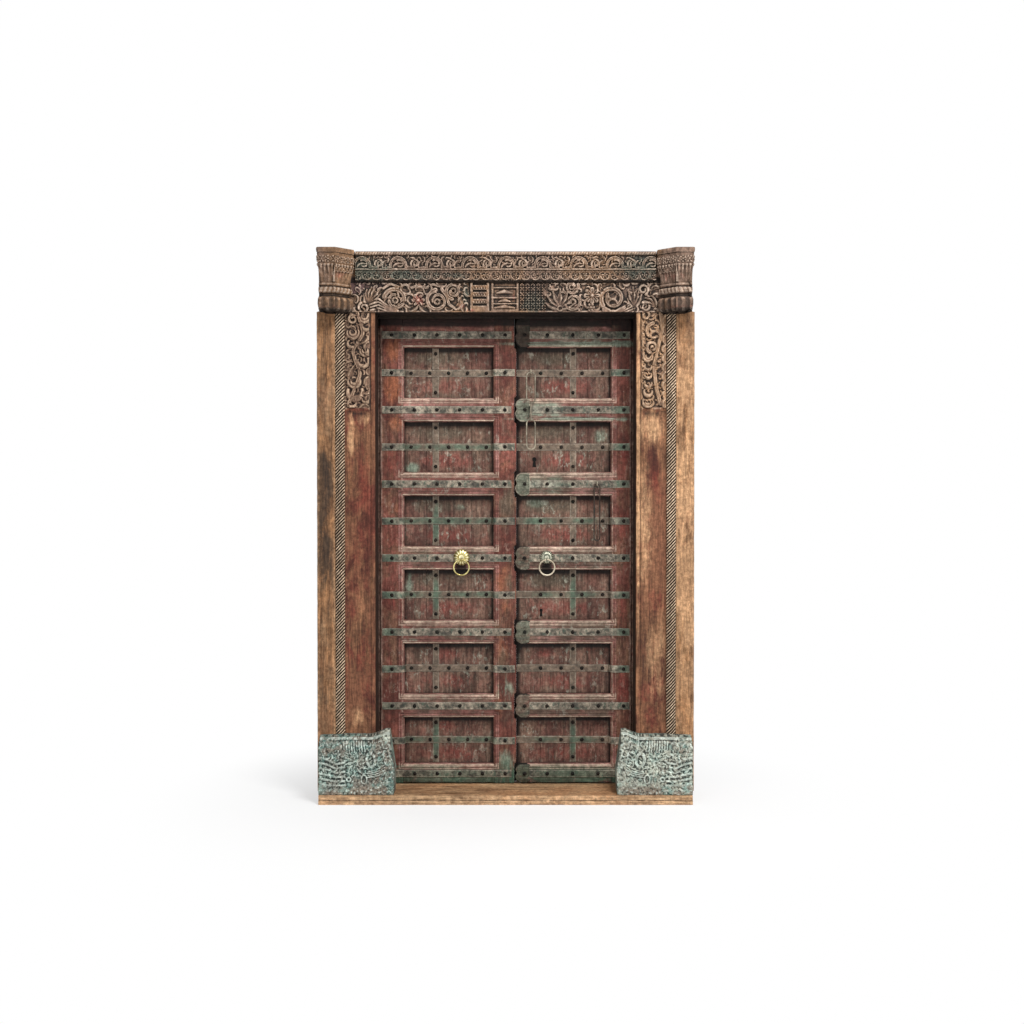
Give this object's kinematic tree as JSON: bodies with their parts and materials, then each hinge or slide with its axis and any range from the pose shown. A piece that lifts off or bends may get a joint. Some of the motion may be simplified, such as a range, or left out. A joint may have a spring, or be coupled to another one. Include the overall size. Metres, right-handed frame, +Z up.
{
  "type": "carved wooden double door",
  "caption": "Carved wooden double door in a frame with capitals, frieze and plinth blocks; unequal iron-strapped leaves swing on pivots, with ring pulls, a chain and a hasp.",
  "frame": {"origin": "middle of the bounding box at floor level", "axes": "X to the right seen from the front, Y to the back, Z up"},
  "size_m": [1.49, 0.285, 2.169],
  "materials": {
    "carved_wood": "old carved hardwood, grey-brown, worn pale on its edges",
    "post_wood": "bare orange-brown hardwood with long grain",
    "jamb_wood": "brown hardwood with traces of red paint",
    "plinth_paint": "carved hardwood with worn teal and white paint",
    "leaf_paint": "hardwood with worn maroon paint",
    "plank_wood": "dusty brown boards with traces of red paint",
    "iron": "old hammered iron with grey-green deposits",
    "nail_iron": "black forged nail heads",
    "brass": "bright worn brass",
    "bronze": "dull brass with green patina"
  },
  "bodies": {
    "frame": {"base_board": "post_wood", "lintel": "carved_wood", "cornice_board": "carved_wood", "pivot_cups": "iron", "left_plinth_block": "plinth_paint", "left_outer_post": "post_wood", "left_inner_jamb": "jamb_wood", "left_capital": "carved_wood", "left_rope_moulding": "jamb_wood", "right_plinth_block": "plinth_paint", "right_outer_post": "post_wood", "right_inner_jamb": "jamb_wood", "right_capital": "carved_wood", "right_rope_moulding": "jamb_wood"},
    "left_leaf": {"left_planks": "plank_wood", "left_hinge_stile": "leaf_paint", "left_meeting_stile": "leaf_paint", "left_rail_1": "leaf_paint", "left_rail_2": "leaf_paint", "left_rail_3": "leaf_paint", "left_rail_4": "leaf_paint", "left_rail_5": "leaf_paint", "left_rail_6": "leaf_paint", "left_rail_7": "leaf_paint", "left_rail_straps": "iron", "left_panel_straps": "iron", "left_upright_straps": "iron", "left_nails": "nail_iron", "left_pivot_pins": "iron", "left_rose": "brass"},
    "left_ring": {"left_ring": "brass"},
    "right_leaf": {"right_planks": "plank_wood", "right_hinge_stile": "leaf_paint", "right_rail_1": "leaf_paint", "right_rail_2": "leaf_paint", "right_rail_3": "leaf_paint", "right_rail_4": "leaf_paint", "right_rail_5": "leaf_paint", "right_rail_6": "leaf_paint", "right_rail_7": "leaf_paint", "right_rail_straps": "iron", "right_panel_straps": "iron", "right_upright_straps": "iron", "right_nails": "nail_iron", "right_pivot_pins": "iron", "right_rose": "bronze", "chain_staple": "iron", "hasp_staple": "iron"},
    "right_ring": {"right_ring": "bronze"},
    "chain_link_1": {"chain_link_1": "iron"},
    "chain_link_2": {"chain_link_2": "iron"},
    "chain_link_3": {"chain_link_3": "iron"},
    "hasp": {"hasp_link": "iron"}
  },
  "joints": [
    {"name": "left_leaf_swing", "type": "hinge", "parent": "frame", "child": "left_leaf", "pos_m": [-0.485, 0.1225, 0.036], "axis": [0, 0, 1], "range_deg": [0, 90]},
    {"name": "right_leaf_swing", "type": "hinge", "parent": "frame", "child": "right_leaf", "pos_m": [0.485, 0.1225, 0.036], "axis": [0, 0, -1], "range_deg": [0, 90]},
    {"name": "left_ring_swing", "type": "hinge", "parent": "left_leaf", "child": "left_ring", "pos_m": [-0.179, 0.064, 0.9464], "axis": [-1, 0, 0], "range_deg": [0, 100]},
    {"name": "right_ring_swing", "type": "hinge", "parent": "right_leaf", "child": "right_ring", "pos_m": [0.166, 0.064, 0.9464], "axis": [-1, 0, 0], "range_deg": [0, 100]},
    {"name": "chain_link_1_swing", "type": "hinge", "parent": "right_leaf", "child": "chain_link_1", "pos_m": [0.101, 0.0665, 1.70165], "axis": [-1, 0, 0], "range_deg": [0, 85]},
    {"name": "chain_link_2_swing", "type": "hinge", "parent": "chain_link_1", "child": "chain_link_2", "pos_m": [0.101, 0.0665, 1.57725], "axis": [-1, 0, 0], "range_deg": [0, 60]},
    {"name": "chain_link_3_swing", "type": "hinge", "parent": "chain_link_2", "child": "chain_link_3", "pos_m": [0.101, 0.0665, 1.51125], "axis": [-1, 0, 0], "range_deg": [0, 60]},
    {"name": "hasp_swing", "type": "hinge", "parent": "right_leaf", "child": "hasp", "pos_m": [0.368, 0.0755, 1.2521], "axis": [-1, 0, 0], "range_deg": [0, 85]}
  ]
}
